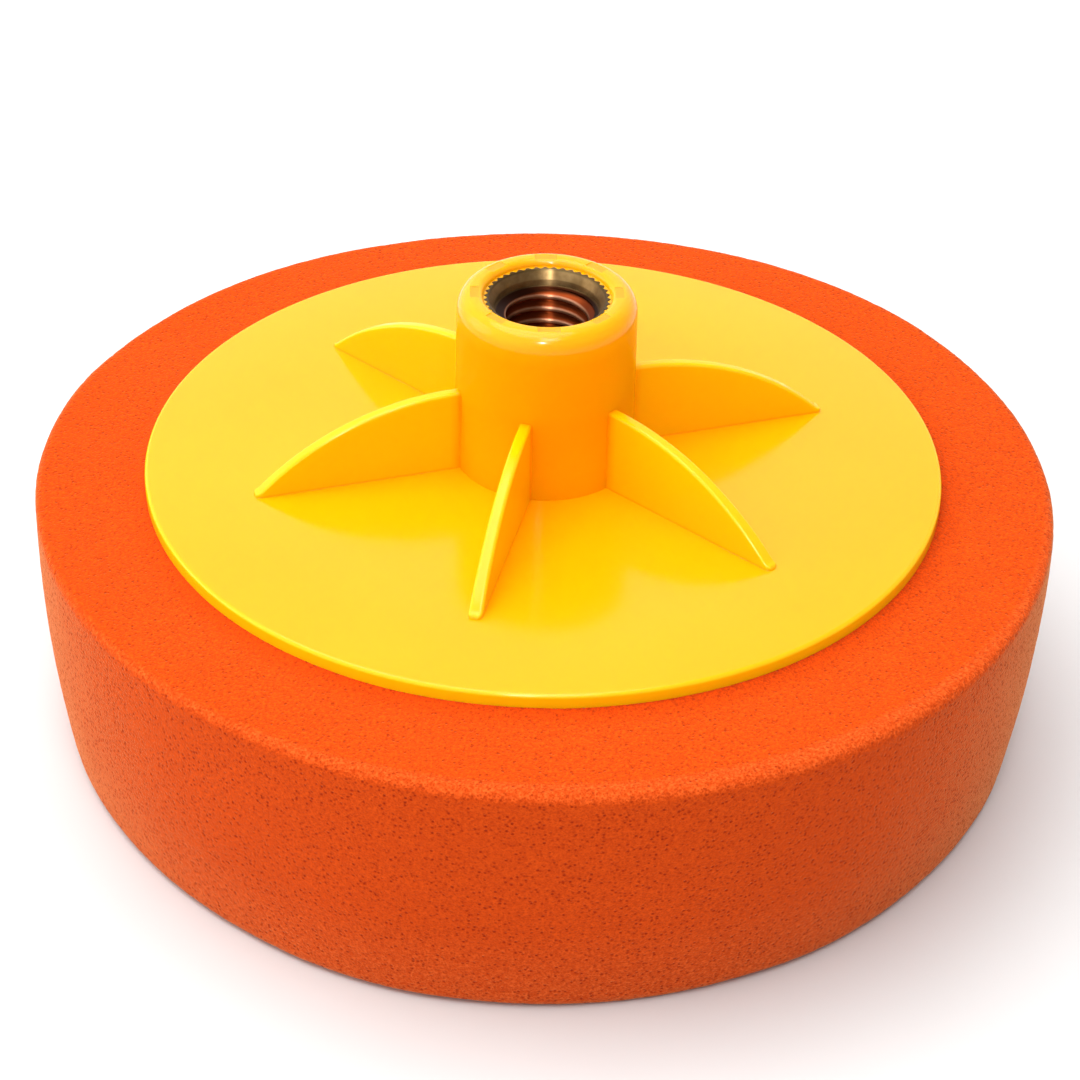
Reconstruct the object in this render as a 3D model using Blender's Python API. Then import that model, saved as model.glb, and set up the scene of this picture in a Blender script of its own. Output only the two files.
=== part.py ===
"""Screw-on polishing pad: a foam disc bonded to a ribbed backing plate with a threaded metal insert.

The spindle axis is the Z axis, and the foam's working face lies on the plane Z = 0.
Four pieces share that axis. From the bottom up they are the foam disc, the adhesive film in its
seat, the moulded backing plate with its boss and six ribs, and the insert held in the boss.
"""
import math

import bmesh
import bpy
from mathutils import Matrix, Vector

MM = 0.001

# Clearance between the faces of two pieces that touch on the real pad.
GAP = 0.3 * MM

# Foam disc. It tapers a little towards the working face.
FOAM_TOP_RADIUS = 75.0 * MM
FOAM_BOTTOM_RADIUS = 71.4 * MM
FOAM_HEIGHT = 41.0 * MM
FOAM_TOP_ROUND = 4.0 * MM
FOAM_BOTTOM_ROUND = 2.0 * MM
SEAT_DEPTH = 1.4 * MM

# Adhesive film between the foam and the plate.
ADHESIVE_THICKNESS = 0.4 * MM
ADHESIVE_MARGIN = 1.9 * MM

# Backing plate: the disc. Outside the ribs its top face slopes down a little to the rim.
PLATE_RADIUS = 58.2 * MM
PLATE_THICKNESS = 3.5 * MM
PLATE_TOP_ROUND = 0.8 * MM
RIM_DROP = 0.6 * MM
RIM_SLOPE_START = 44.0 * MM
PLATE_BOTTOM_CHAMFER = 0.4 * MM

# Backing plate: the boss in its middle. Its wall leans inwards by the moulding draft.
BOSS_HEIGHT = 26.8 * MM
BOSS_BASE_RADIUS = 13.1 * MM
BOSS_TOP_RADIUS = 12.9 * MM
BOSS_TOP_ROUND = 2.0 * MM
BOSS_BASE_FILLET = 0.7 * MM

# Backing plate: the ribs. Each top edge is an arc that starts level at the boss.
RIB_COUNT = 6
RIB_FIRST_ANGLE = math.radians(18.2)
RIB_TIP_RADIUS = 43.3 * MM
RIB_HEIGHT = 12.6 * MM
RIB_NOSE_HEIGHT = 0.4 * MM
RIB_LEVEL_RADIUS = 13.5 * MM
RIB_ROOT_RADIUS = 10.6 * MM
RIB_BASE_WIDTH = 2.1 * MM
RIB_TOP_WIDTH = 1.8 * MM
RIB_EDGE_ROUND = 0.5 * MM
RIB_EMBED = 0.6 * MM
RIB_ARC_STEPS = 14

# Backing plate: shallow recesses in the top ring of the boss.
RECESS_COUNT = 8
RECESS_FIRST_ANGLE = math.radians(2.0)
RECESS_RADIUS = 10.25 * MM
RECESS_LENGTH = 3.2 * MM
RECESS_WIDTH = 1.3 * MM
RECESS_DEPTH = 0.3 * MM

# Threaded insert: the knurled outside, with a retaining groove.
INSERT_RECESS = 1.0 * MM
INSERT_LENGTH = 21.0 * MM
KNURL_TEETH = 43
KNURL_TIP_RADIUS = 9.0 * MM
KNURL_ROOT_RADIUS = 8.6 * MM
GROOVE_RADIUS = 7.9 * MM
GROOVE_WIDTH = 3.0 * MM

# Threaded insert: the M14 x 2 right-hand thread, its counterbore and its mouth chamfer.
THREAD_PITCH = 2.0 * MM
THREAD_MAJOR_RADIUS = 7.0 * MM
THREAD_MINOR_RADIUS = 5.92 * MM
THREAD_CREST_FLAT = THREAD_PITCH / 4
THREAD_ROOT_FLAT = THREAD_PITCH / 8
THREAD_END_MARGIN = 0.04 * MM
COUNTERBORE_RADIUS = 7.55 * MM
COUNTERBORE_DEPTH = 2.2 * MM
COUNTERBORE_CONE = 0.5 * MM
MOUTH_RADIUS = 8.45 * MM
THREAD_END_RADIUS = 7.1 * MM
THREAD_BOTTOM_RELIEF = 1.2 * MM

# Facets around the axis.
FOAM_SEGMENTS = 72
PLATE_SEGMENTS = 84
THREAD_SEGMENTS = 40
ROUND_STEPS = 4

# Heights along the axis, worked out from the dimensions above.
SEAT_Z = FOAM_HEIGHT - SEAT_DEPTH
ADHESIVE_Z = SEAT_Z + GAP
PLATE_BOTTOM_Z = ADHESIVE_Z + ADHESIVE_THICKNESS + GAP
PLATE_TOP_Z = PLATE_BOTTOM_Z + PLATE_THICKNESS
BOSS_TOP_Z = PLATE_TOP_Z + BOSS_HEIGHT
INSERT_TOP_Z = BOSS_TOP_Z - INSERT_RECESS
INSERT_BOTTOM_Z = INSERT_TOP_Z - INSERT_LENGTH
GROOVE_BOTTOM_Z = INSERT_BOTTOM_Z + (INSERT_LENGTH - GROOVE_WIDTH) / 2


def clear_scene():
    for old in list(bpy.data.objects):
        bpy.data.objects.remove(old, do_unlink=True)


def make_material(name, colour, roughness, metallic=0.0):
    material = bpy.data.materials.new(name)
    material.use_nodes = True
    shader = material.node_tree.nodes["Principled BSDF"]
    shader.inputs["Base Color"].default_value = (*colour, 1.0)
    shader.inputs["Roughness"].default_value = roughness
    shader.inputs["Metallic"].default_value = metallic
    return material


def add_object(name, bm, material=None):
    bmesh.ops.recalc_face_normals(bm, faces=bm.faces)
    mesh = bpy.data.meshes.new(name)
    bm.to_mesh(mesh)
    bm.free()
    mesh.shade_smooth()
    mesh.set_sharp_from_angle(angle=math.radians(35))
    if material:
        mesh.materials.append(material)
    obj = bpy.data.objects.new(name, mesh)
    bpy.context.collection.objects.link(obj)
    return obj


def hide_as_cutter(obj):
    obj.hide_render = True
    obj.display_type = 'WIRE'


def arc(centre_r, centre_z, radius, start, end, steps=ROUND_STEPS):
    """Points of an arc in the (radius, height) plane, with its angles in degrees."""
    points = []
    for step in range(steps + 1):
        angle = math.radians(start + (end - start) * step / steps)
        points.append((centre_r + radius * math.cos(angle), centre_z + radius * math.sin(angle)))
    return points


def turned(profile, segments, closed=False):
    """A solid of revolution. An open profile starts and ends on the axis."""
    bm = bmesh.new()
    verts = [bm.verts.new((r, 0.0, z)) for r, z in profile]
    edges = [bm.edges.new(pair) for pair in zip(verts, verts[1:])]
    if closed:
        edges.append(bm.edges.new((verts[-1], verts[0])))
    bmesh.ops.spin(bm, geom=verts + edges, cent=(0, 0, 0), axis=(0, 0, 1),
                   angle=2 * math.pi, steps=segments, use_merge=True)
    bmesh.ops.remove_doubles(bm, verts=bm.verts, dist=0.01 * MM)
    return bm


def add_boolean(obj, other, operation):
    modifier = obj.modifiers.new(operation.lower(), 'BOOLEAN')
    modifier.operation = operation
    modifier.solver = 'EXACT'
    modifier.object = other
    hide_as_cutter(other)


def foam_profile():
    seat_radius = PLATE_RADIUS + GAP
    top = FOAM_TOP_ROUND
    bottom = FOAM_BOTTOM_ROUND
    return [
        (0.0, 0.0),
        *arc(FOAM_BOTTOM_RADIUS - bottom, bottom, bottom, -90, 0),
        *arc(FOAM_TOP_RADIUS - top, FOAM_HEIGHT - top, top, 0, 90),
        (seat_radius, FOAM_HEIGHT),
        (seat_radius, SEAT_Z),
        (0.0, SEAT_Z),
    ]


def adhesive_profile():
    radius = PLATE_RADIUS - ADHESIVE_MARGIN
    half = ADHESIVE_THICKNESS / 2
    return [(0.0, ADHESIVE_Z), *arc(radius, ADHESIVE_Z + half, half, -90, 90), (0.0, ADHESIVE_Z + 2 * half)]


def plate_profile():
    """The disc and boss in one outline, from the axis at the underside to the axis in the socket."""
    chamfer = PLATE_BOTTOM_CHAMFER
    edge = PLATE_TOP_ROUND
    fillet = BOSS_BASE_FILLET
    top = BOSS_TOP_ROUND
    socket_radius = KNURL_TIP_RADIUS + GAP
    collar_radius = GROOVE_RADIUS + GAP
    collar_bottom = GROOVE_BOTTOM_Z + GAP
    collar_top = GROOVE_BOTTOM_Z + GROOVE_WIDTH - GAP
    socket_floor = INSERT_BOTTOM_Z - GAP
    return [
        (0.0, PLATE_BOTTOM_Z),
        (PLATE_RADIUS - chamfer, PLATE_BOTTOM_Z),
        (PLATE_RADIUS, PLATE_BOTTOM_Z + chamfer),
        *arc(PLATE_RADIUS - edge, PLATE_TOP_Z - RIM_DROP - edge, edge, 0, 90),
        (RIM_SLOPE_START, PLATE_TOP_Z),
        *arc(BOSS_BASE_RADIUS + fillet, PLATE_TOP_Z + fillet, fillet, 270, 180, 3),
        *arc(BOSS_TOP_RADIUS - top, BOSS_TOP_Z - top, top, 0, 90),
        (socket_radius, BOSS_TOP_Z),
        (socket_radius, collar_top),
        (collar_radius, collar_top),
        (collar_radius, collar_bottom),
        (socket_radius, collar_bottom),
        (socket_radius, socket_floor),
        (0.0, socket_floor),
    ]


def rib_outline():
    """One rib seen from the side, as (radius, height above the plate's top face)."""
    run = RIB_TIP_RADIUS - RIB_LEVEL_RADIUS
    drop = RIB_HEIGHT - RIB_NOSE_HEIGHT
    arc_radius = (run * run + drop * drop) / (2 * drop)
    sweep = math.degrees(math.asin(run / arc_radius))
    crest = arc(RIB_LEVEL_RADIUS, RIB_HEIGHT - arc_radius, arc_radius, 90 - sweep, 90, RIB_ARC_STEPS)
    return [(RIB_ROOT_RADIUS, -RIB_EMBED), (RIB_TIP_RADIUS, -RIB_EMBED), *crest, (RIB_ROOT_RADIUS, RIB_HEIGHT)]


def add_rib(bm, angle):
    """One rib along its own radius. Its sides lean in from the base width to the top width."""
    turn = Matrix.Rotation(angle, 4, 'Z')
    lean = (RIB_BASE_WIDTH - RIB_TOP_WIDTH) / 2 / RIB_HEIGHT
    sides = []
    for side in (-1, 1):
        ring = []
        for r, h in rib_outline():
            half_width = RIB_BASE_WIDTH / 2 - lean * h
            ring.append(bm.verts.new(turn @ Vector((r, side * half_width, PLATE_TOP_Z + h))))
        sides.append(ring)
    left, right = sides
    count = len(left)
    faces = [bm.faces.new(left), bm.faces.new(list(reversed(right)))]
    for index in range(count):
        after = (index + 1) % count
        faces.append(bm.faces.new((left[after], left[index], right[index], right[after])))
    exposed = [bm.edges.get((ring[i], ring[i + 1])) for ring in sides for i in range(1, count - 1)]
    bmesh.ops.recalc_face_normals(bm, faces=faces)
    bmesh.ops.bevel(bm, geom=exposed, offset=RIB_EDGE_ROUND, segments=2, profile=0.5,
                    affect='EDGES', clamp_overlap=True)


def ribs_mesh():
    bm = bmesh.new()
    for index in range(RIB_COUNT):
        add_rib(bm, RIB_FIRST_ANGLE + index * 2 * math.pi / RIB_COUNT)
    return bm


def recess_cutters_mesh():
    bm = bmesh.new()
    size = Matrix.Diagonal((RECESS_WIDTH, RECESS_LENGTH, 2 * RECESS_DEPTH, 1.0))
    place = Matrix.Translation((RECESS_RADIUS, 0.0, BOSS_TOP_Z))
    for index in range(RECESS_COUNT):
        turn = Matrix.Rotation(RECESS_FIRST_ANGLE + index * 2 * math.pi / RECESS_COUNT, 4, 'Z')
        bmesh.ops.create_cube(bm, size=1.0, matrix=turn @ place @ size)
    return bm


def insert_blank_mesh():
    """The insert before it is bored: a straight-knurled bar with a plain groove around its middle."""
    bm = bmesh.new()
    levels = [
        (INSERT_BOTTOM_Z, None),
        (GROOVE_BOTTOM_Z, None),
        (GROOVE_BOTTOM_Z, GROOVE_RADIUS),
        (GROOVE_BOTTOM_Z + GROOVE_WIDTH, GROOVE_RADIUS),
        (GROOVE_BOTTOM_Z + GROOVE_WIDTH, None),
        (INSERT_TOP_Z, None),
    ]
    steps = 2 * KNURL_TEETH
    rings = []
    for height, plain_radius in levels:
        ring = []
        for step in range(steps):
            angle = 2 * math.pi * step / steps
            knurl_radius = KNURL_TIP_RADIUS if step % 2 == 0 else KNURL_ROOT_RADIUS
            radius = plain_radius or knurl_radius
            ring.append(bm.verts.new((radius * math.cos(angle), radius * math.sin(angle), height)))
        rings.append(ring)
    for lower, upper in zip(rings, rings[1:]):
        for step in range(steps):
            after = (step + 1) % steps
            bm.faces.new((lower[step], lower[after], upper[after], upper[step]))
    bm.faces.new(list(reversed(rings[0])))
    bm.faces.new(rings[-1])
    return bm


def thread_point(step, row, bottom, top):
    """Where one row of the thread crosses one facet line, or the end of the thread that it runs into."""
    flank = (THREAD_PITCH - THREAD_CREST_FLAT - THREAD_ROOT_FLAT) / 2
    flats = [
        (0.0, THREAD_MINOR_RADIUS),
        (THREAD_CREST_FLAT, THREAD_MINOR_RADIUS),
        (THREAD_CREST_FLAT + flank, THREAD_MAJOR_RADIUS),
        (THREAD_CREST_FLAT + flank + THREAD_ROOT_FLAT, THREAD_MAJOR_RADIUS),
    ]
    turn, place = divmod(row, len(flats))
    rise, radius = flats[place]
    height = bottom + rise + THREAD_PITCH * (turn - 1 + step / THREAD_SEGMENTS)
    if height < bottom + THREAD_END_MARGIN:
        return 'bottom', THREAD_END_RADIUS, bottom
    if height > top - THREAD_END_MARGIN:
        return 'top', THREAD_END_RADIUS, top
    return row, radius, height


def bore_cutter_mesh():
    """The space inside the insert: a relieved bottom, a right-hand thread, a counterbore and a chamfer.

    Each row of the thread rises by one pitch in a turn, so the last facet joins the first one a turn up.
    """
    rows_per_turn = 4
    bottom = INSERT_BOTTOM_Z + THREAD_BOTTOM_RELIEF
    top = INSERT_TOP_Z - COUNTERBORE_DEPTH - COUNTERBORE_CONE
    overshoot = 1.0 * MM
    chamfer = MOUTH_RADIUS - COUNTERBORE_RADIUS
    row_count = rows_per_turn * (math.ceil((top - bottom) / THREAD_PITCH) + 2)
    below = [(THREAD_END_RADIUS, INSERT_BOTTOM_Z - overshoot)]
    above = [
        (COUNTERBORE_RADIUS, top + COUNTERBORE_CONE),
        (COUNTERBORE_RADIUS, INSERT_TOP_Z - chamfer),
        (MOUTH_RADIUS + overshoot, INSERT_TOP_Z + overshoot),
    ]
    bm = bmesh.new()
    made = {}

    def vertex(step, key, radius, height):
        step %= THREAD_SEGMENTS
        if (step, key) not in made:
            angle = 2 * math.pi * step / THREAD_SEGMENTS
            made[step, key] = bm.verts.new((radius * math.cos(angle), radius * math.sin(angle), height))
        return made[step, key]

    def thread_vertex(step, row):
        if step == THREAD_SEGMENTS:
            return thread_vertex(0, row + rows_per_turn)
        return vertex(step, *thread_point(step, row, bottom, top))

    def add_face(corners):
        corners = list(dict.fromkeys(corners))
        if len(corners) > 2:
            bm.faces.new(corners)

    for step in range(THREAD_SEGMENTS):
        column = [vertex(step, ('below', i), *place) for i, place in enumerate(below)]
        after = [vertex(step + 1, ('below', i), *place) for i, place in enumerate(below)]
        column += [thread_vertex(step, row) for row in range(row_count)]
        after += [thread_vertex(step + 1, row) for row in range(row_count)]
        column += [vertex(step, ('above', i), *place) for i, place in enumerate(above)]
        after += [vertex(step + 1, ('above', i), *place) for i, place in enumerate(above)]
        for index in range(len(column) - 1):
            add_face((column[index], after[index], after[index + 1], column[index + 1]))
    bm.faces.new([made[step, ('below', 0)] for step in reversed(range(THREAD_SEGMENTS))])
    bm.faces.new([made[step, ('above', len(above) - 1)] for step in range(THREAD_SEGMENTS)])
    return bm


def build_foam_pad():
    orange = make_material("open_cell_foam", (0.95, 0.16, 0.03), 0.95)
    add_object("foam_pad", turned(foam_profile(), FOAM_SEGMENTS), orange)


def build_adhesive_layer():
    amber = make_material("contact_adhesive", (0.75, 0.55, 0.25), 0.5)
    add_object("adhesive_layer", turned(adhesive_profile(), FOAM_SEGMENTS), amber)


def build_backing_plate():
    yellow = make_material("moulded_plastic", (1.0, 0.62, 0.02), 0.2)
    plate = add_object("backing_plate", turned(plate_profile(), PLATE_SEGMENTS), yellow)
    add_boolean(plate, add_object("rib_shapes", ribs_mesh()), 'UNION')
    add_boolean(plate, add_object("recess_cutters", recess_cutters_mesh()), 'DIFFERENCE')


def build_threaded_insert():
    brass = make_material("turned_brass", (0.62, 0.42, 0.2), 0.3, metallic=1.0)
    insert = add_object("threaded_insert", insert_blank_mesh(), brass)
    add_boolean(insert, add_object("bore_cutter", bore_cutter_mesh()), 'DIFFERENCE')


def main():
    clear_scene()
    build_foam_pad()
    build_adhesive_layer()
    build_backing_plate()
    build_threaded_insert()


main()
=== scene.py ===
"""The looks of the screw-on polishing pad: foam disc, ribbed yellow plate and threaded brass insert."""
import math

import bmesh
import bpy
import numpy as np
from mathutils import Matrix, Vector, noise


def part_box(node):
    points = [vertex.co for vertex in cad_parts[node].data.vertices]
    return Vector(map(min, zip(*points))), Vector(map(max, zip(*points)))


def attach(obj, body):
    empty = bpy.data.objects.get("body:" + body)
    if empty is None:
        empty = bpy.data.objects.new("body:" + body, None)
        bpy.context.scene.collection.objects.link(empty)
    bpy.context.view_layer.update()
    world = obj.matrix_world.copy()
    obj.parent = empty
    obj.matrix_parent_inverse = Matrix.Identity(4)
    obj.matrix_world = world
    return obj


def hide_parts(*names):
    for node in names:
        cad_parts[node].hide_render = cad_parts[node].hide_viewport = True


MM = 0.001
TAU = 2 * math.pi

# ---------------------------------------------------------------- frame

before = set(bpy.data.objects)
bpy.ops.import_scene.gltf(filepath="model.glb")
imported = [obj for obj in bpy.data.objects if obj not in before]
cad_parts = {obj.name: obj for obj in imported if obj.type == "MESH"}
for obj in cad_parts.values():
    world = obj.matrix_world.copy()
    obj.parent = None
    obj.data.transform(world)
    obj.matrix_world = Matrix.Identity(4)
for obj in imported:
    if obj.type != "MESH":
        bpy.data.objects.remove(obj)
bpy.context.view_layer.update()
FOAM_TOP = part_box("foam_pad")[1][2]
PLATE_LOW, PLATE_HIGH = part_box("backing_plate")
INSERT_LOW, INSERT_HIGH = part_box("threaded_insert")

# Sizes that the frame's boxes don't hold, as in the CAD part.
PLATE_THICKNESS = 3.5 * MM
BOSS_BASE_RADIUS = 13.1 * MM
BOSS_TOP_RADIUS = 12.9 * MM
THREAD_PITCH = 2.0 * MM
THREAD_MAJOR_RADIUS = 7.0 * MM
THREAD_MINOR_RADIUS = 5.92 * MM
COUNTERBORE_RADIUS = 7.55 * MM
COUNTERBORE_DEPTH = 2.2 * MM
KNURL_TEETH = 43
KNURL_TIP_RADIUS = 9.0 * MM
KNURL_ROOT_RADIUS = 8.6 * MM

PLATE_RADIUS = PLATE_HIGH[0]
PLATE_BOTTOM = PLATE_LOW[2]
PLATE_TOP = PLATE_BOTTOM + PLATE_THICKNESS
BOSS_TOP = PLATE_HIGH[2]
INSERT_TOP = INSERT_HIGH[2]
INSERT_BOTTOM = INSERT_LOW[2]

# The shape of one knurl tooth, column by column: 1 at its tip, 0 at its root.
TOOTH = (1.0, 1.0, 0.5, 0.0, 0.0, 0.5)
# The columns of the plate and the insert, which match at the socket's wall.
COLUMNS = KNURL_TEETH * len(TOOTH)

# ---------------------------------------------------------------- mesh helpers


def arc(centre_r, centre_z, radius, start, end, steps):
    """Points of an arc in the (radius, height) plane, with its angles in degrees."""
    angles = [math.radians(start + (end - start) * i / steps) for i in range(steps + 1)]
    return [(centre_r + radius * math.cos(a), centre_z + radius * math.sin(a)) for a in angles]


def line(start, end, steps):
    """Points between two ends of a straight run, without its start."""
    return [tuple(a + (b - a) * i / steps for a, b in zip(start, end)) for i in range(1, steps + 1)]


def rows_to_mesh(name, rows, first=None, last=None):
    """A closed skin over rings of points. The first and last rings close on a point or on each other."""
    count = rows.shape[1]
    verts = rows.reshape(-1, 3).tolist()
    faces = []
    pairs = [(i, i + 1) for i in range(len(rows) - 1)]
    if first is None:
        pairs.append((len(rows) - 1, 0))
    for lower, upper in pairs:
        a, b = lower * count, upper * count
        faces += [(a + j, b + j, b + (j + 1) % count, a + (j + 1) % count) for j in range(count)]
    if first is not None:
        tip, end = len(verts), (len(rows) - 1) * count
        verts += [first, last]
        faces += [(tip, j, (j + 1) % count) for j in range(count)]
        faces += [(tip + 1, end + (j + 1) % count, end + j) for j in range(count)]
    mesh = bpy.data.meshes.new(name)
    mesh.from_pydata(verts, [], faces)
    mesh.validate()
    return mesh


def add_piece(name, mesh, material=None):
    piece = bpy.data.objects.new(name, mesh)
    bpy.context.collection.objects.link(piece)
    if material:
        mesh.materials.append(material)
    return piece


def apply_modifiers(piece):
    """Replaces the piece's mesh by what its modifiers make of it."""
    evaluated = piece.evaluated_get(bpy.context.evaluated_depsgraph_get())
    mesh = bpy.data.meshes.new_from_object(evaluated)
    piece.modifiers.clear()
    piece.data = mesh


# ---------------------------------------------------------------- material helpers

RAMP_INPUTS = ("From Min", "From Max", "To Min", "To Max")


class Nodes:
    """A material's node tree, with short calls for the nodes used here."""

    def __init__(self, name):
        self.material = bpy.data.materials.new(name)
        self.material.use_nodes = True
        self.tree = self.material.node_tree
        self.shader = self.tree.nodes["Principled BSDF"]
        self.position = self.add("ShaderNodeTexCoord").outputs["Object"]

    def add(self, kind, **values):
        node = self.tree.nodes.new(kind)
        for key, value in values.items():
            setattr(node, key, value)
        return node

    def link(self, source, target):
        self.tree.links.new(source, target)

    def noise(self, scale, detail=2.0, roughness=0.5, vector=None):
        node = self.add("ShaderNodeTexNoise")
        node.inputs["Scale"].default_value = scale
        node.inputs["Detail"].default_value = detail
        node.inputs["Roughness"].default_value = roughness
        self.link(vector or self.position, node.inputs["Vector"])
        return node.outputs["Fac"]

    def cells(self, scale):
        """Each point's distance from the middle of its cell, and a random number for each cell."""
        node = self.add("ShaderNodeTexVoronoi")
        node.inputs["Scale"].default_value = scale
        self.link(self.position, node.inputs["Vector"])
        channels = self.add("ShaderNodeSeparateColor")
        self.link(node.outputs["Color"], channels.inputs["Color"])
        return node.outputs["Distance"], channels.outputs["Red"]

    def ramp(self, value, low, high, out_low=0.0, out_high=1.0):
        """Straight from one output to the other as the value goes from low to high, and level beyond."""
        node = self.add("ShaderNodeMapRange", clamp=True)
        for key, number in zip(RAMP_INPUTS, (low, high, out_low, out_high)):
            node.inputs[key].default_value = number
        self.link(value, node.inputs["Value"])
        return node.outputs["Result"]

    def maths(self, operation, first, second=0.0):
        node = self.add("ShaderNodeMath", operation=operation)
        for socket, value in zip(node.inputs, (first, second)):
            if isinstance(value, (int, float)):
                socket.default_value = value
            else:
                self.link(value, socket)
        return node.outputs["Value"]

    def product(self, first, second):
        return self.maths('MULTIPLY', first, second)

    def blend(self, factor, low, high):
        """A mix of two colours: all of the first where the factor is 0, and of the second where it is 1."""
        node = self.add("ShaderNodeMix", data_type='RGBA')
        self.link(factor, node.inputs["Factor"])
        for key, value in (("A", low), ("B", high)):
            socket = [s for s in node.inputs if s.name == key and s.type == 'RGBA'][0]
            if isinstance(value, tuple):
                socket.default_value = (*value, 1.0)
            else:
                self.link(value, socket)
        return [s for s in node.outputs if s.type == 'RGBA'][0]

    def height(self):
        """Height above the working face."""
        node = self.add("ShaderNodeSeparateXYZ")
        self.link(self.position, node.inputs[0])
        return node.outputs["Z"]

    def radius(self):
        """Distance from the spindle axis."""
        flat = self.add("ShaderNodeVectorMath", operation='MULTIPLY')
        flat.inputs[1].default_value = (1.0, 1.0, 0.0)
        self.link(self.position, flat.inputs[0])
        length = self.add("ShaderNodeVectorMath", operation='LENGTH')
        self.link(flat.outputs["Vector"], length.inputs[0])
        return length.outputs["Value"]

    def bump(self, value, distance, strength=1.0, after=None):
        node = self.add("ShaderNodeBump")
        node.inputs["Distance"].default_value = distance
        node.inputs["Strength"].default_value = strength
        self.link(value, node.inputs["Height"])
        if after:
            self.link(after, node.inputs["Normal"])
        return node.outputs["Normal"]

    def set(self, **values):
        """Sets or links the shader's inputs, with _ for a space in their names."""
        for key, value in values.items():
            socket = self.shader.inputs[key.replace("_", " ")]
            if isinstance(value, (int, float)):
                socket.default_value = value
            elif isinstance(value, tuple):
                socket.default_value = (*value, 1.0)
            else:
                self.link(value, socket)


# ---------------------------------------------------------------- foam disc

FOAM_COLUMNS = 620
FOAM_STEP = 0.75 * MM
FOAM_FACE_STEP = 1.2 * MM
FOAM_TOP_ROUND = 1.1 * MM
FOAM_BOTTOM_ROUND = 2.0 * MM
FOAM_TOP_RADIUS = 74.2 * MM
FOAM_BOTTOM_RADIUS = 72.3 * MM
FOAM_SEAT_FLOOR = PLATE_BOTTOM - 1.0 * MM
FOAM_SEAT_RADIUS = PLATE_RADIUS - 0.45 * MM
FOAM_LIP_RISE = 0.5 * MM
FOAM_LIP_WIDTH = 2.5 * MM
FOAM_SIDE_BULGE = 0.9 * MM
# The soft disc leans: its top is bonded a little forward of the spindle axis, its face lies back.
FOAM_TOP_SHIFT = (0.5 * MM, -1.8 * MM)
FOAM_BOTTOM_SHIFT = (-0.3 * MM, 1.5 * MM)
# How the cut edge departs from a circle: waves in a turn, with their cosine and sine parts.
FOAM_TOP_WAVES = ((2, 0.06 * MM, -0.42 * MM), (3, -0.33 * MM, 0.29 * MM))
FOAM_BOTTOM_WAVES = ((2, 0.31 * MM, -0.77 * MM), (3, 0.37 * MM, 0.94 * MM))
# Above this share of its height the foam is held by the plate, and moves less towards its axis.
FOAM_HELD_FROM = 0.9
# The skin's relief, as (how many there are to a metre, how high they are).
FOAM_WAVES = (26.0, 0.35 * MM)
FOAM_DENTS = (70.0, 0.12 * MM)
FOAM_PITS = (620.0, 0.07 * MM)
FOAM_TUFTS = (900.0, 0.03 * MM)
# Below this height the skin has no waves and dents, so the working face stays flat.
FOAM_FLAT_BELOW = 1.0 * MM


def resampled(points, step):
    """The same line as points about one step apart, all at the same distance along it."""
    points = np.array(points)
    gone = np.concatenate([[0], np.cumsum(np.hypot(*np.diff(points, axis=0).T))])
    wanted = np.linspace(0, gone[-1], max(2, round(gone[-1] / step) + 1))
    return np.stack([np.interp(wanted, gone, points[:, i]) for i in (0, 1)], axis=1)


def foam_profile():
    """The foam's rings from its seat, over the rim and in across the working face, as (radius, height).

    Also gives how many of them the plate hides."""
    top, bottom = FOAM_TOP_ROUND, FOAM_BOTTOM_ROUND
    rim = [(FOAM_SEAT_RADIUS, FOAM_TOP + FOAM_LIP_RISE), (FOAM_SEAT_RADIUS + FOAM_LIP_WIDTH, FOAM_TOP)]
    rim += arc(FOAM_TOP_RADIUS - top, FOAM_TOP - top, top, 90, 0, 8)
    rim += arc(FOAM_BOTTOM_RADIUS - bottom, bottom, bottom, 0, -90, 6)
    shown = resampled(rim, FOAM_STEP).tolist()
    seat = [(FOAM_SEAT_RADIUS * 0.5, FOAM_SEAT_FLOOR), (FOAM_SEAT_RADIUS, FOAM_SEAT_FLOOR)]
    seat += line(seat[-1], rim[0], 2)[:-1]
    inner = FOAM_BOTTOM_RADIUS - bottom
    face = [(inner - FOAM_FACE_STEP * i, 0.0) for i in range(1, int(inner / FOAM_FACE_STEP))]
    return np.array(seat + shown + face), len(seat)


def waves(parts, angles):
    """How far the waves stand out at each angle of the turn."""
    return sum(c * np.cos(k * angles) + s * np.sin(k * angles) for k, c, s in parts)


def relief(point, scale, size):
    return noise.noise(point * scale) * size


def foam_offset(point):
    """How far one point of the foam's skin stands out: slow waves, soft dents, open pits and tufts."""
    pits, depth = FOAM_PITS
    cell = noise.voronoi(point * pits)[0][0]
    offset = relief(point, *FOAM_TUFTS) - depth * max(0.0, 1.0 - 2.0 * cell)
    if point.z > FOAM_FLAT_BELOW:
        offset += relief(point, *FOAM_WAVES) + relief(point, *FOAM_DENTS)
    return offset


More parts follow.
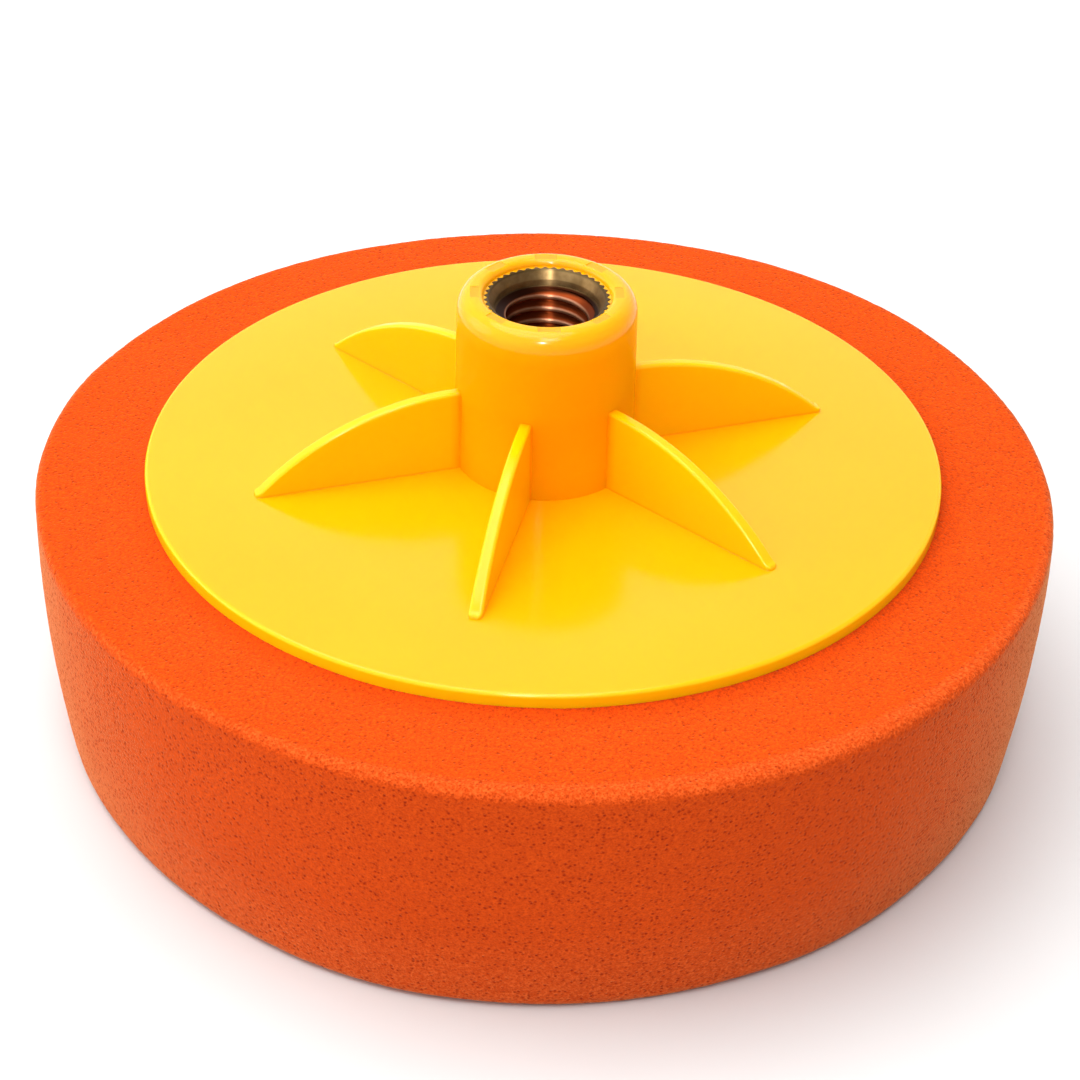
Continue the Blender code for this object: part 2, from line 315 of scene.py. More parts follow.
def build_foam():
    """The foam as one closed skin: its rings bent out of round, shifted, and roughened by its relief."""
    profile, hidden = foam_profile()
    angles = np.arange(FOAM_COLUMNS) * TAU / FOAM_COLUMNS
    ring = np.stack([np.cos(angles), np.sin(angles)], axis=1)
    rows = np.zeros((len(profile), FOAM_COLUMNS, 3))
    slope = np.gradient(profile, axis=0)
    slope /= np.hypot(*slope.T)[:, None]
    top_shift, bottom_shift = np.array(FOAM_TOP_SHIFT), np.array(FOAM_BOTTOM_SHIFT)
    top_waves, bottom_waves = waves(FOAM_TOP_WAVES, angles), waves(FOAM_BOTTOM_WAVES, angles)
    for i, (radius, height) in enumerate(profile):
        out_r, out_z = -slope[i, 1], slope[i, 0]
        lift = height / FOAM_TOP
        offset = np.zeros(FOAM_COLUMNS)
        if i > hidden:
            spots = [Vector((radius * c, radius * s, height)) for c, s in ring]
            offset = np.array([foam_offset(spot) for spot in spots])
        if height <= 0.0:
            offset = -np.abs(offset)
        free = 1.0
        if lift > FOAM_HELD_FROM:
            out = (radius - FOAM_SEAT_RADIUS) / (FOAM_TOP_RADIUS - FOAM_SEAT_RADIUS)
            free = float(np.clip(out, 0.0, 1.0))
        bulge = FOAM_SIDE_BULGE * math.sin(math.pi * lift)
        reach = radius + out_r * offset + free * (bulge + bottom_waves + (top_waves - bottom_waves) * lift)
        shift = free * (bottom_shift + (top_shift - bottom_shift) * lift)
        rows[i, :, :2] = reach[:, None] * ring + shift
        rows[i, :, 2] = np.maximum(height + out_z * offset, 0.0)
    mesh = rows_to_mesh("foam_disc", rows, (0.0, 0.0, FOAM_SEAT_FLOOR), (*FOAM_BOTTOM_SHIFT, 0.0))
    mesh.shade_smooth()
    return add_piece("foam_disc", mesh, foam_material())


# The foam's colours. A pair is the range of its slow patches.
# Painted light and shade: one foam, given a lighter colour on the top and a darker one on the sides, as if
# lit from above.
FOAM_LIT_TOP_COLOURS = ((0.81, 0.083, 0.0036), (0.87, 0.093, 0.0045))
FOAM_SHADED_SIDE_COLOURS = ((0.63, 0.069, 0.0046), (0.69, 0.078, 0.0058))
# Painted shade where the foam meets the plate's edge.
FOAM_CONTACT_SHADE_COLOUR = (0.76, 0.064, 0.0018)
# A paler peach colour, mixed in as painted light.
FOAM_PAINTED_LIGHT_COLOUR = (0.84, 0.22, 0.060)
FOAM_STRAND_COLOUR = (0.54, 0.049, 0.0022)
FOAM_GRAIN_COLOUR = (0.49, 0.042, 0.0016)
# Painted shade inside the open pores.
FOAM_PORE_SHADE_COLOUR = (0.30, 0.017, 0.001)
FOAM_SHEEN_COLOUR = (1.0, 0.66, 0.28)
# How many there are to a metre.
FOAM_PATCHES = 40.0
FOAM_PORES = 1450.0
FOAM_STRANDS = 1900.0
FOAM_GRAINS = 3100.0
# How much of the paler colour is mixed in as painted light: on the upper edge, a painted highlight where
# fibres catch light, and at the foot, painted light thrown back from the floor.
FOAM_EDGE_PAINTED_LIGHT = 0.25
FOAM_FOOT_PAINTED_LIGHT = 0.34
FOAM_FOOT_PAINTED_LIGHT_HEIGHT = 16 * MM
# How dark the painted shade in the pores is on the top, as a share of that on the side.
FOAM_TOP_PORES = 0.58
FOAM_PORE_BUMP = 0.08 * MM
FOAM_GRAIN_BUMP = 0.05 * MM


def foam_colour(n, side):
    """The foam's colour without its pores and strands: painted lighter on the top and darker on the sides as
    painted light and shade, with painted shade beside the plate and painted light on its upper edge and at
    its foot.
    """
    patches = n.ramp(n.noise(FOAM_PATCHES, 3.0), 0.3, 0.7)
    # Painted shade: the foam darkens over the last few millimetres towards the plate.
    plate_shade_falloff = n.ramp(n.radius(), PLATE_RADIUS + 0.3 * MM, PLATE_RADIUS + 4.0 * MM)
    top = n.blend(plate_shade_falloff, FOAM_CONTACT_SHADE_COLOUR, n.blend(patches, *FOAM_LIT_TOP_COLOURS))
    # The sides take the darker colours: painted shade.
    body = n.blend(side, top, n.blend(patches, *FOAM_SHADED_SIDE_COLOURS))
    # Painted light: the rounded upper edge as a painted highlight, and the foot as painted light from the
    # floor.
    edge = n.product(n.ramp(n.height(), FOAM_TOP - 1.4 * MM, FOAM_TOP - 0.5 * MM),
                     n.ramp(n.radius(), FOAM_TOP_RADIUS - 1.2 * MM, FOAM_TOP_RADIUS - 0.3 * MM))
    foot = n.ramp(n.height(), FOAM_FOOT_PAINTED_LIGHT_HEIGHT, 1 * MM, 0.0, FOAM_FOOT_PAINTED_LIGHT)
    painted_light = n.maths('MAXIMUM', n.product(edge, FOAM_EDGE_PAINTED_LIGHT), foot)
    return n.blend(painted_light, body, FOAM_PAINTED_LIGHT_COLOUR)


def foam_material():
    """Open-cell foam: pores darkened with painted shade between paler strands, matt, with a soft sheen
    outside the pores.
    """
    n = Nodes("open_cell_foam")
    distance, chance = n.cells(FOAM_PORES)
    hole = n.product(n.ramp(distance, 0.1, 0.42, 1.0, 0.0), n.ramp(chance, 0.0, 0.8, 0.3, 1.0))
    small, _ = n.cells(FOAM_GRAINS)
    grain = n.ramp(small, 0.1, 0.6)
    strands = n.noise(FOAM_STRANDS, 2.0, 0.6)
    side = n.ramp(n.height(), FOAM_TOP - 0.6 * MM, FOAM_TOP - 1.6 * MM)
    mottled = n.blend(n.ramp(strands, 0.3, 0.7), FOAM_STRAND_COLOUR, foam_colour(n, side))
    grained = n.blend(grain, FOAM_GRAIN_COLOUR, mottled)
    # Painted shade in the pores, stronger on the side than on the top.
    depth = n.product(hole, n.ramp(side, 0.0, 1.0, FOAM_TOP_PORES, 1.0))
    n.set(Base_Color=n.blend(depth, grained, FOAM_PORE_SHADE_COLOUR))
    n.set(Roughness=n.ramp(strands, 0.3, 0.7, 0.85, 1.0), Specular_IOR_Level=0.06)
    n.set(Sheen_Weight=n.ramp(depth, 0.0, 0.6, 0.46, 0.1))
    n.set(Sheen_Roughness=0.3, Sheen_Tint=FOAM_SHEEN_COLOUR)
    pits = n.bump(n.maths('SUBTRACT', 1.0, hole), FOAM_PORE_BUMP)
    n.set(Normal=n.bump(n.maths('ADD', grain, strands), FOAM_GRAIN_BUMP, 1.0, pits))
    return n.material


# ---------------------------------------------------------------- knurl and thread

THREAD_STEP = 0.1 * MM
THREAD_RUN_OUT = 0.5 * MM
# The thread's shape in one turn, in pitches: half its root's flat, and then its flank.
THREAD_ROOT_FLAT = 0.08
THREAD_FLANK = 0.30
# The share of the flank's height over which the crest is rounded, to each side of its corner.
CREST_ROUND = 0.25
# The plain bore below the thread.
RELIEF_LENGTH = 1.2 * MM
RELIEF_RADIUS = THREAD_MAJOR_RADIUS + 0.1 * MM
RELIEF_CONE = 0.2 * MM
MOUTH_RADIUS = 8.45 * MM
MOUTH_DEPTH = 1.3 * MM
MOUTH_BREAK = 0.06 * MM
INSERT_EDGE = 0.12 * MM
INSERT_FOOT_EDGE = 0.3 * MM


def knurl_radius():
    """The insert's outer radius at each column: a straight knurl with narrow flat tips."""
    return KNURL_ROOT_RADIUS + (KNURL_TIP_RADIUS - KNURL_ROOT_RADIUS) * np.tile(TOOTH, KNURL_TEETH)


def rings(profile):
    """Rows of points from (radius or one radius per column, height)."""
    angles = np.arange(COLUMNS) * TAU / COLUMNS
    rows = np.zeros((len(profile), COLUMNS, 3))
    for i, (radius, height) in enumerate(profile):
        rows[i, :, 0] = radius * np.cos(angles)
        rows[i, :, 1] = radius * np.sin(angles)
        rows[i, :, 2] = height
    return rows


def thread_rows():
    """The female thread from its top end down, as one radius per column at each height."""
    top = INSERT_TOP - COUNTERBORE_DEPTH
    bottom = INSERT_BOTTOM + RELIEF_LENGTH
    turn = np.arange(COLUMNS) / COLUMNS
    out = []
    for height in np.arange(top, bottom, -THREAD_STEP):
        phase = ((height - bottom) / THREAD_PITCH - turn) % 1.0
        climb = np.clip((np.abs(phase - 0.5) - THREAD_ROOT_FLAT) / THREAD_FLANK, 0.0, 1.0 + CREST_ROUND)
        rounded = 1.0 - (1.0 + CREST_ROUND - climb) ** 2 / (4 * CREST_ROUND)
        climb = np.where(climb > 1.0 - CREST_ROUND, rounded, climb)
        radius = THREAD_MAJOR_RADIUS + (THREAD_MINOR_RADIUS - THREAD_MAJOR_RADIUS) * climb
        lead = np.clip((top - height) / THREAD_RUN_OUT, 0.0, 1.0)
        cone = COUNTERBORE_RADIUS + (THREAD_MINOR_RADIUS - COUNTERBORE_RADIUS) * lead
        out.append((np.maximum(radius, cone), height))
    return out


def build_insert():
    """The insert's section from its foot, up the knurl, over the rim and down the bore."""
    knurl = knurl_radius()
    profile = [(RELIEF_RADIUS, INSERT_BOTTOM), (knurl - INSERT_FOOT_EDGE, INSERT_BOTTOM)]
    profile += [(knurl, INSERT_BOTTOM + INSERT_FOOT_EDGE), (knurl, INSERT_TOP - INSERT_EDGE)]
    profile += [(knurl - 0.4 * INSERT_EDGE, INSERT_TOP - 0.2 * INSERT_EDGE)]
    profile += [(knurl - INSERT_EDGE, INSERT_TOP), (np.minimum(knurl, MOUTH_RADIUS + 0.05 * MM), INSERT_TOP)]
    profile += [(MOUTH_RADIUS - MOUTH_BREAK, INSERT_TOP - 0.04 * MM)]
    profile += [(COUNTERBORE_RADIUS + 0.05 * MM, INSERT_TOP - MOUTH_DEPTH + 0.07 * MM)]
    profile += [(COUNTERBORE_RADIUS, INSERT_TOP - MOUTH_DEPTH - 0.05 * MM)]
    profile += [(COUNTERBORE_RADIUS, INSERT_TOP - COUNTERBORE_DEPTH + 0.1 * MM)]
    profile += thread_rows()
    profile += [(RELIEF_RADIUS, INSERT_BOTTOM + RELIEF_LENGTH - RELIEF_CONE)]
    profile += [(RELIEF_RADIUS, INSERT_BOTTOM + RELIEF_CONE)]
    mesh = rows_to_mesh("knurled_insert", rings(profile)[::-1])
    mesh.shade_smooth()
    mesh.set_sharp_from_angle(angle=math.radians(32))
    return add_piece("knurled_insert", mesh, brass_material())


# The brass's colours. A pair is the range of its stains.
WALL_COLOURS = ((0.21, 0.125, 0.047), (0.33, 0.215, 0.09))
WALL_RIM_COLOUR = (0.13, 0.085, 0.035)
# The thread's crests: a range of stains, reddened by painted bounce light between the brass walls.
CREST_STAIN_AND_BOUNCE_COLOURS = ((0.32, 0.14, 0.075), (0.44, 0.22, 0.13))
# Painted shade on the thread's flanks.
FLANK_SHADE_COLOUR = (0.21, 0.036, 0.008)
# Painted shade under the counterbore's floor, where the thread starts.
RUN_OUT_SHADE_COLOUR = (0.028, 0.006, 0.002)
STAINS_PER_METRE = 420.0
# Lathe lines: long round the axis, and close together along it.
LATHE_LINES_PER_METRE = (60.0, 60.0, 9000.0)


def brass_material():
    """Turned brass: lathe lines round the wall; the thread is reddened by painted bounce light, with painted
    shade on its flanks and a near-black painted shade at its first turn.
    """
    n = Nodes("turned_brass")
    stretched = n.add("ShaderNodeMapping")
    stretched.inputs["Scale"].default_value = LATHE_LINES_PER_METRE
    n.link(n.position, stretched.inputs["Vector"])
    lines = n.noise(1.0, 2.0, 0.5, stretched.outputs["Vector"])
    stains = n.noise(STAINS_PER_METRE, 3.0, 0.6)
    stained = n.ramp(stains, 0.35, 0.7)
    floor = INSERT_TOP - COUNTERBORE_DEPTH
    thread = n.ramp(n.height(), floor + 0.1 * MM, floor - 0.1 * MM)
    flank = n.ramp(n.radius(), THREAD_MINOR_RADIUS + 0.08 * MM, THREAD_MINOR_RADIUS + 0.3 * MM)
    # Painted shade on the flanks between the crests.
    lower = n.blend(flank, n.blend(stained, *CREST_STAIN_AND_BOUNCE_COLOURS), FLANK_SHADE_COLOUR)
    # Painted shade: the thread's first turn below the counterbore is near black.
    run_out_shade = n.product(n.ramp(n.height(), floor - 0.7 * MM, floor - 0.45 * MM), flank)
    lower = n.blend(run_out_shade, lower, RUN_OUT_SHADE_COLOUR)
    rim = n.ramp(n.height(), INSERT_TOP - 0.3 * MM, INSERT_TOP - 0.05 * MM)
    upper = n.blend(rim, n.blend(stained, *WALL_COLOURS), WALL_RIM_COLOUR)
    n.set(Base_Color=n.blend(thread, upper, lower), Metallic=1.0)
    n.set(Roughness=n.ramp(stains, 0.3, 0.7, 0.34, 0.4), Anisotropic=0.95, Anisotropic_Rotation=0.25)
    around = n.add("ShaderNodeTangent", direction_type='RADIAL', axis='Z')
    n.set(Normal=n.bump(lines, 0.012 * MM, 0.8), Tangent=around.outputs["Tangent"])
    return n.material


# ---------------------------------------------------------------- backing plate

PLATE_EDGE_ROUND = 0.6 * MM
RIM_DROP = 0.6 * MM
RIM_SLOPE_START = 40.0 * MM
RIM_SLOPE_STEPS = 12
PLATE_LOWER_ROUND = 0.5 * MM
BOSS_EDGE_ROUND = 2.3 * MM
BOSS_EDGE_DEPTH = 3.0 * MM
SOCKET_FLARE = 1.0 * MM
SOCKET_CLEARANCE = 0.02 * MM
SOCKET_MOUTH_RADIUS = KNURL_TIP_RADIUS + 0.08 * MM
SOCKET_WALL_TOP = INSERT_TOP - 0.06 * MM
SOCKET_FLOOR = INSERT_BOTTOM - 0.3 * MM

RIB_COUNT = 6
RIB_FIRST_ANGLE = math.radians(18.2)
RIB_TIP = 43.4 * MM
RIB_HEIGHT = 12.6 * MM
RIB_NOSE = 0.7 * MM
RIB_LEVEL_RADIUS = 13.5 * MM
RIB_ROOT = 10.8 * MM
RIB_BASE_WIDTH = 2.0 * MM
RIB_TOP_WIDTH = 1.75 * MM
RIB_FILLET = 0.1 * MM
RIB_EDGE = 0.5 * MM
RIB_EMBED = 0.6 * MM
# How far the rib's outline narrows at its tip, as a share of its half width.
RIB_TIP_NARROWING = 0.6
# The cuts along a rib: close together at the boss and over the last stretch before the tip.
RIB_ROOT_CUTS = 6
RIB_MIDDLE_CUTS = 26
RIB_TIP_CUTS = 10
RIB_TIP_STRETCH = 1.5 * MM

RECESS_COUNT = 8
RECESS_FIRST_ANGLE = math.radians(2.0)
RECESS_RADIUS = 10.25 * MM
RECESS_LENGTH = 3.2 * MM
RECESS_WIDTH = 1.5 * MM
RECESS_DEPTH = 0.15 * MM
RECESS_ROUND = 0.14 * MM


def plate_body():
    """The disc and boss, turned in one piece. The socket's wall follows the insert's knurl."""
    edge, lower, top = PLATE_EDGE_ROUND, PLATE_LOWER_ROUND, BOSS_EDGE_ROUND
    flare = SOCKET_FLARE
    knurl = knurl_radius() + SOCKET_CLEARANCE
    profile = arc(PLATE_RADIUS - lower, PLATE_BOTTOM + lower, lower, -90, 0, 4)
    profile += arc(PLATE_RADIUS - edge, PLATE_TOP - RIM_DROP - edge, edge, 0, 90, 12)
    run = PLATE_RADIUS - edge - RIM_SLOPE_START
    for i in range(1, RIM_SLOPE_STEPS + 1):
        inward = i / RIM_SLOPE_STEPS
        profile.append((PLATE_RADIUS - edge - run * inward, PLATE_TOP - RIM_DROP * (1 - inward) ** 2))
    profile += [(BOSS_BASE_RADIUS, PLATE_TOP)]
    stretch = BOSS_EDGE_DEPTH / top
    rounded = arc(BOSS_TOP_RADIUS - top, 0.0, top, 0, 90, 16)
    profile += [(radius, BOSS_TOP - BOSS_EDGE_DEPTH + height * stretch) for radius, height in rounded]
    profile += arc(SOCKET_MOUTH_RADIUS + flare, BOSS_TOP - flare, flare, 90, 180, 8)
    profile += [(knurl, SOCKET_WALL_TOP), (knurl, INSERT_BOTTOM), (KNURL_ROOT_RADIUS, SOCKET_FLOOR)]
    mesh = rows_to_mesh("plate_body", rings(profile)[::-1], (0, 0, SOCKET_FLOOR), (0, 0, PLATE_BOTTOM))
    return add_piece("plate_moulding", mesh, plastic_material())


def crest(radius):
    """A rib's height at one distance from the axis: an arc that ends in a small round nose."""
    run, drop = RIB_TIP - RIB_LEVEL_RADIUS, RIB_HEIGHT
    arc_radius = (run * run + drop * drop) / (2 * drop)
    out = max(0.0, radius - RIB_LEVEL_RADIUS)
    height = RIB_HEIGHT - arc_radius + math.sqrt(arc_radius ** 2 - out ** 2)
    return max(height, nose_height(radius))


def nose_height(radius):
    """The height of the round nose that ends a rib's crest."""
    back = (radius - (RIB_TIP - RIB_NOSE)) / RIB_NOSE
    return RIB_NOSE * math.sqrt(max(0.0, 1.0 - max(0.0, back) ** 2))


def rib_section(radius):
    """One rib cut across at a distance from the axis, as (half width, height), from its foot to its crest."""
    height = max(crest(radius), 0.05 * MM)
    fillet = min(RIB_FILLET, 0.5 * height)
    edge = min(RIB_EDGE, 0.45 * height)
    half = RIB_BASE_WIDTH / 2
    lean = (RIB_BASE_WIDTH - RIB_TOP_WIDTH) / 2 * height / RIB_HEIGHT
    into_nose = max(0.0, radius - (RIB_TIP - half)) / half
    half -= RIB_TIP_NARROWING * half * (1 - math.sqrt(max(0.0, 1 - into_nose ** 2)))
    to_boss = radius - BOSS_BASE_RADIUS
    if to_boss < RIB_FILLET:
        away = RIB_FILLET - max(0.0, to_boss)
        half += RIB_FILLET - math.sqrt(RIB_FILLET ** 2 - away ** 2)
    foot = arc(half + fillet, fillet - 0.02 * MM, fillet, 270, 180, 6)
    shoulder = arc(half - lean - edge, height - edge, edge, 0, 90, 6)
    return [(foot[0][0], -RIB_EMBED), *foot, *shoulder]


def rib_stations():
    """Distances from the axis where a rib is cut."""
    quarters = [math.radians(90 * i / RIB_ROOT_CUTS) for i in range(RIB_ROOT_CUTS + 1)]
    root = [RIB_ROOT] + [BOSS_BASE_RADIUS + RIB_FILLET * (1 - math.cos(a)) for a in quarters]
    start, end = root[-1], RIB_TIP - RIB_TIP_STRETCH
    middle = [start + (end - start) * i / RIB_MIDDLE_CUTS for i in range(1, RIB_MIDDLE_CUTS + 1)]
    quarters = [math.radians(90 * i / RIB_TIP_CUTS) for i in range(1, RIB_TIP_CUTS + 1)]
    return root + middle + [RIB_TIP - RIB_TIP_STRETCH * math.cos(a) for a in quarters]


def rib_object(angle):
    """One rib as a closed solid, its foot sunk into the disc and its root into the boss."""
    bm = bmesh.new()
    loops = []
    for radius in rib_stations():
        section = rib_section(radius)
        around = [(-x, h) for x, h in section] + [(x, h) for x, h in reversed(section)]
        loops.append([bm.verts.new((radius, x, PLATE_TOP + h)) for x, h in around])
    count = len(loops[0])
    for a, b in zip(loops, loops[1:]):
        for i in range(count):
            j = (i + 1) % count
            bm.faces.new((a[i], a[j], b[j], b[i]))
    bm.faces.new(list(reversed(loops[0])))
    bm.faces.new(loops[-1])
    bmesh.ops.transform(bm, matrix=Matrix.Rotation(angle, 4, 'Z'), verts=bm.verts)
    bmesh.ops.recalc_face_normals(bm, faces=bm.faces)
    mesh = bpy.data.meshes.new("rib")
    bm.to_mesh(mesh)
    bm.free()
    return add_piece("rib", mesh)


def recess_object(angle):
    """A cutter for one shallow rectangular recess, with rounded corners."""
    bm = bmesh.new()
    size = Matrix.Diagonal((RECESS_WIDTH, RECESS_LENGTH, 2 * RECESS_DEPTH, 1.0))
    place = Matrix.Translation((RECESS_RADIUS, 0.0, BOSS_TOP))
    bmesh.ops.create_cube(bm, size=1.0, matrix=Matrix.Rotation(angle, 4, 'Z') @ place @ size)
    bmesh.ops.bevel(bm, geom=bm.edges[:], offset=RECESS_ROUND, segments=3, profile=0.5, affect='EDGES')
    mesh = bpy.data.meshes.new("recess")
    bm.to_mesh(mesh)
    bm.free()
    return add_piece("recess", mesh)


def combine(piece, other, operation):
    """Joins or cuts the piece with the other one, which is then removed."""
    modifier = piece.modifiers.new(operation.lower(), 'BOOLEAN')
    modifier.operation = operation
    modifier.solver = 'EXACT'
    modifier.object = other
    apply_modifiers(piece)
    bpy.data.objects.remove(other, do_unlink=True)


def build_plate():
    """The moulding: the turned body with its ribs joined on and the recesses cut out."""
    plate = plate_body()
    for i in range(RIB_COUNT):
        combine(plate, rib_object(RIB_FIRST_ANGLE + i * TAU / RIB_COUNT), 'UNION')
    for i in range(RECESS_COUNT):
        combine(plate, recess_object(RECESS_FIRST_ANGLE + i * TAU / RECESS_COUNT), 'DIFFERENCE')
    plate.data.shade_smooth()
    plate.data.set_sharp_from_angle(angle=math.radians(40))
    weighted = plate.modifiers.new("weighted", 'WEIGHTED_NORMAL')
    weighted.keep_sharp = True
    weighted.weight = 80
    apply_modifiers(plate)
    return plate


# The plastic's colours. The first is the range of its flow marks.
PLASTIC_COLOURS = ((0.94, 0.392, 0.0004), (0.97, 0.416, 0.0006))
# Painted light: the ribs' paler colour, as if lit through.
RIB_GLOW_COLOUR = (0.95, 0.515, 0.0006)
# Painted light on the plate's outer edge.
RIM_GLOW_COLOUR = (0.96, 0.55, 0.002)
# Painted shade on the boss's wall.
BOSS_SHADE_COLOUR = (0.90, 0.33, 0.0004)
# Painted shade in the shallow recesses on the boss's top.
RECESS_SHADE_COLOUR = (0.93, 0.33, 0.0004)
# How many there are to a metre.
FLOW_MARKS = 28.0
SURFACE_WAVES = 60.0
SCUFFS = 260.0
MOULD_GRAINS = 700.0
PLATE_SHINE = 0.3
BOSS_SHINE = 0.06


def plastic_colour(n, wall):
    """Painted light: the thin ribs and the plate's rim are painted paler, as if lit through. Painted shade:
    the thick boss's wall is painted deeper, more so higher up, and so are the shallow recesses.
    """
    body = n.blend(n.ramp(n.noise(FLOW_MARKS, 2.0), 0.3, 0.7), *PLASTIC_COLOURS)
    above = n.ramp(n.height(), PLATE_TOP + 0.05 * MM, PLATE_TOP + 0.4 * MM)
    outside = n.ramp(n.radius(), BOSS_BASE_RADIUS + 0.1 * MM, BOSS_BASE_RADIUS + 1.5 * MM)
    # The ribs take the paler colour: painted light through thin plastic.
    body = n.blend(n.product(above, outside), body, RIB_GLOW_COLOUR)
    # Painted light: the plate's outer edge is painted paler.
    rim = n.ramp(n.radius(), PLATE_RADIUS - 0.5 * MM, PLATE_RADIUS - 0.1 * MM)
    body = n.blend(rim, body, RIM_GLOW_COLOUR)
    # Painted shade: the boss's wall grows deeper in colour towards its top.
    climb = n.ramp(n.height(), PLATE_TOP + 4.0 * MM, PLATE_TOP + 12.0 * MM, 0.15, 1.0)
    body = n.blend(n.product(wall, climb), body, BOSS_SHADE_COLOUR)
    # Painted shade: the floors of the recesses are darker.
    sunk = n.ramp(n.height(), BOSS_TOP - 0.03 * MM, BOSS_TOP - 0.13 * MM)
    outer = n.ramp(n.radius(), RECESS_RADIUS + 0.75 * MM, RECESS_RADIUS + 0.6 * MM)
    inner = n.ramp(n.radius(), RECESS_RADIUS - 0.65 * MM, RECESS_RADIUS - 0.45 * MM)
    return n.blend(n.product(sunk, n.product(outer, inner)), body, RECESS_SHADE_COLOUR)


def plastic_material():
    """Glossy moulded plastic: an even colour with faint flow marks, mould grain and fine scuffs."""
    n = Nodes("moulded_yellow_plastic")
    scuffs = n.noise(SCUFFS, 6.0, 0.7)
    below_top = n.ramp(n.height(), BOSS_TOP - 1.2 * MM, BOSS_TOP - 5.0 * MM)
    inside = n.ramp(n.radius(), BOSS_BASE_RADIUS + 0.5 * MM, BOSS_BASE_RADIUS + 0.1 * MM)
    wall = n.product(inside, below_top)
    n.set(Base_Color=plastic_colour(n, wall), Roughness=n.ramp(scuffs, 0.45, 0.75, 0.14, 0.2))
    n.set(Specular_IOR_Level=n.ramp(wall, 0.0, 1.0, PLATE_SHINE, BOSS_SHINE), IOR=1.47)
    n.set(Subsurface_Weight=0.5, Subsurface_Scale=3.0 * MM)
    n.shader.inputs["Subsurface Radius"].default_value = (1.0, 0.6, 0.05)
    grain = n.bump(n.noise(MOULD_GRAINS, 2.0), 0.006 * MM, 0.6)
    n.set(Normal=n.bump(n.noise(SURFACE_WAVES, 1.0), 0.05 * MM, 0.5, grain))
    return n.material


# ---------------------------------------------------------------- adhesive


def adhesive_material():
    """Cured contact adhesive: amber, slightly uneven."""
    n = Nodes("contact_adhesive")
    blotches = n.noise(90.0, 3.0)
    n.set(Base_Color=n.blend(n.ramp(blotches, 0.3, 0.7), (0.62, 0.42, 0.16), (0.80, 0.60, 0.30)))
    n.set(Roughness=n.ramp(blotches, 0.3, 0.7, 0.35, 0.55))
    n.set(Normal=n.bump(blotches, 0.1 * MM, 0.5))
    return n.material


# ---------------------------------------------------------------- stage, light and camera

FLOOR_RADIUS = 1.8
FLOOR_SIDES = 96
FLOOR_COLOURS = ((0.695, 0.705, 0.700), (0.71, 0.72, 0.715))


def floor_material():
    n = Nodes("white_floor")
    n.set(Base_Color=n.blend(n.ramp(n.noise(30.0, 2.0), 0.3, 0.7), *FLOOR_COLOURS), Roughness=0.6)
    return n.material


def build_floor():
    """A round floor, just under the foam."""
    mesh = bpy.data.meshes.new("floor")
    angles = [TAU * i / FLOOR_SIDES for i in range(FLOOR_SIDES)]
    corners = [(FLOOR_RADIUS * math.cos(a), FLOOR_RADIUS * math.sin(a), 0.0) for a in angles]
    mesh.from_pydata(corners, [], [tuple(range(FLOOR_SIDES))])
    floor = add_piece("floor", mesh, floor_material())
    floor.location.z = -0.05 * MM


LIGHT_TARGET = Vector((0.0, 0.0, 0.04))


def add_light(name, size, power, place, colour=(1.0, 1.0, 1.0)):
    """A round area light that faces the pad, with its size in metres and its power in watts."""
    data = bpy.data.lights.new(name, 'AREA')
    data.shape = 'DISK'
    data.size = size
    data.energy = power
    data.color = colour
    lamp = bpy.data.objects.new(name, data)
    bpy.context.collection.objects.link(lamp)
    lamp.location = place
    lamp.rotation_euler = (LIGHT_TARGET - Vector(place)).to_track_quat('-Z', 'Y').to_euler()
    return lamp


SKY_STRENGTH = 1.15
# The room is darker to its right. The edge is where it starts and where it is at its darkest.
DIM_STRENGTH = 0.45
DIM_DIRECTION = (0.85, -0.35, 0.4)
DIM_EDGE = (0.0, 0.75)


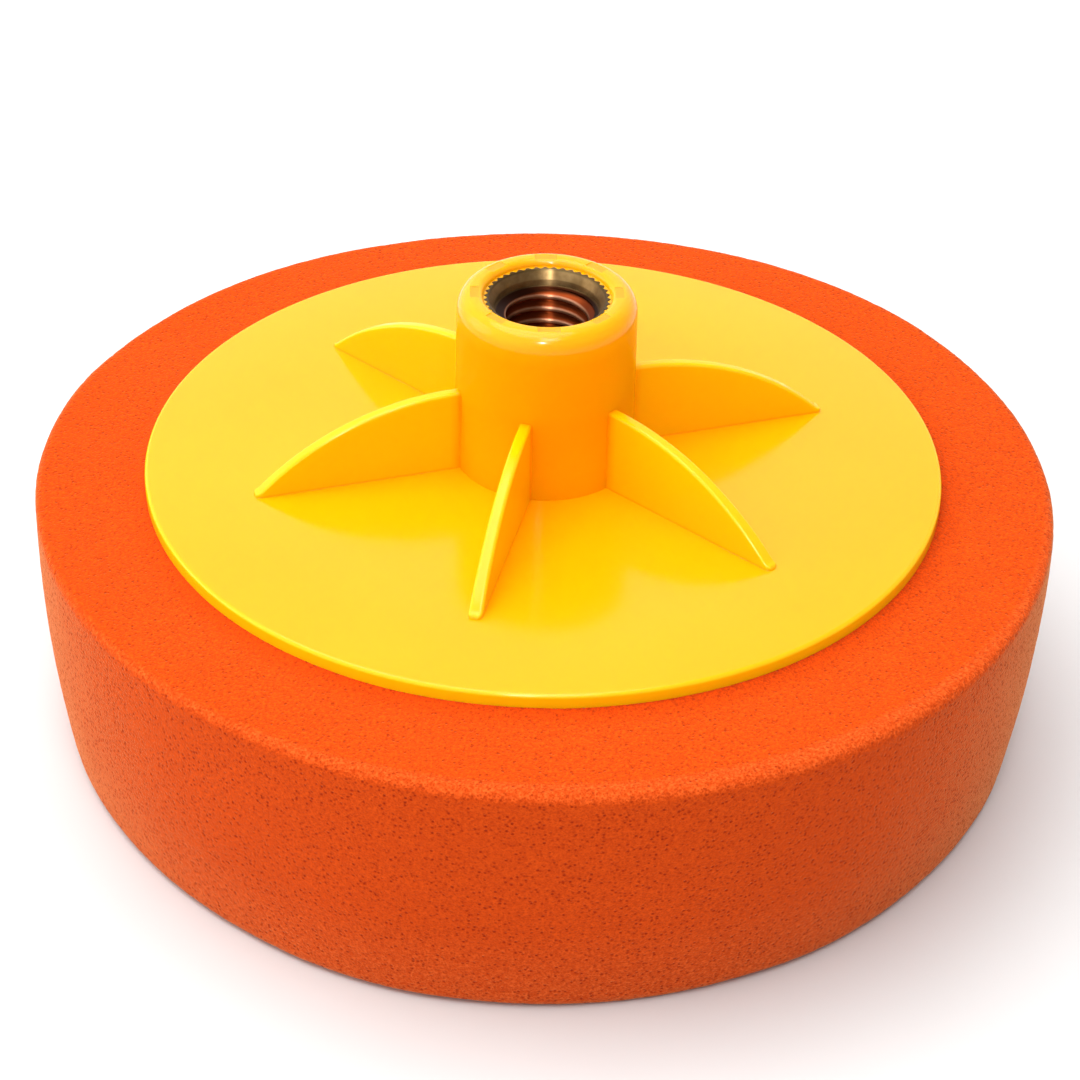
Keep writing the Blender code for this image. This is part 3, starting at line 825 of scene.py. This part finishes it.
def build_sky():
    world = bpy.data.worlds.new("studio")
    world.use_nodes = True
    tree = world.node_tree
    direction = tree.nodes.new("ShaderNodeTexCoord")
    towards = tree.nodes.new("ShaderNodeVectorMath")
    towards.operation = 'DOT_PRODUCT'
    towards.inputs[1].default_value = DIM_DIRECTION
    tree.links.new(direction.outputs["Generated"], towards.inputs[0])
    strength = tree.nodes.new("ShaderNodeMapRange")
    for key, value in zip(RAMP_INPUTS, (*DIM_EDGE, SKY_STRENGTH, DIM_STRENGTH)):
        strength.inputs[key].default_value = value
    tree.links.new(towards.outputs["Value"], strength.inputs["Value"])
    tree.links.new(strength.outputs["Result"], tree.nodes["Background"].inputs["Strength"])
    tree.nodes["Background"].inputs["Color"].default_value = (1.0, 1.0, 1.0, 1.0)
    bpy.context.scene.world = world


def build_lights():
    add_light("ceiling", size=1.6, power=20.0, place=(-0.3, 0.0, 1.5))
    add_light("window", size=1.2, power=6.3, place=(-1.7, 0.1, 0.55), colour=(1.0, 0.97, 0.92))
    add_light("panel", size=0.42, power=4.4, place=(0.07, -0.73, 1.12))
    # The lamp makes only the small glints on the boss and the thread.
    lamp = add_light("lamp", size=0.1, power=7.0, place=(-0.1, -1.12, 0.86))
    lamp.visible_diffuse = False


# The camera stands in front of the pad and looks down at it.
CAMERA_TARGET = Vector((0.0, 0.0, 30.0 * MM))
CAMERA_DISTANCE = 461.96 * MM
CAMERA_ELEVATION = math.radians(34.39)
CAMERA_ROLL = math.radians(1.375)
CAMERA_LENS = 103.2
CAMERA_SHIFT = (-0.0017, -0.0093)
CAMERA_SENSOR = 36.0


def build_camera():
    data = bpy.data.cameras.new("camera")
    data.sensor_width = CAMERA_SENSOR
    data.lens = CAMERA_LENS
    data.shift_x, data.shift_y = CAMERA_SHIFT
    data.clip_start = 0.01
    camera = bpy.data.objects.new("camera", data)
    bpy.context.collection.objects.link(camera)
    back = Vector((0.0, -math.cos(CAMERA_ELEVATION), math.sin(CAMERA_ELEVATION)))
    camera.location = CAMERA_TARGET + back * CAMERA_DISTANCE
    level = (-back).to_track_quat('-Z', 'Y').to_matrix()
    camera.rotation_euler = (level @ Matrix.Rotation(CAMERA_ROLL, 3, 'Z')).to_euler()
    bpy.context.scene.camera = camera


# ---------------------------------------------------------------- assembly


bpy.context.scene.view_settings.view_transform = 'Standard'
build_camera()
build_sky()
build_lights()
build_floor()

foam = build_foam()
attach(foam, "root")
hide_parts("foam_pad")

plate = build_plate()
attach(plate, "root")
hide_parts("backing_plate")

insert = build_insert()
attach(insert, "root")
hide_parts("threaded_insert")

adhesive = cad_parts["adhesive_layer"]
adhesive.data.materials.clear()
adhesive.data.materials.append(adhesive_material())
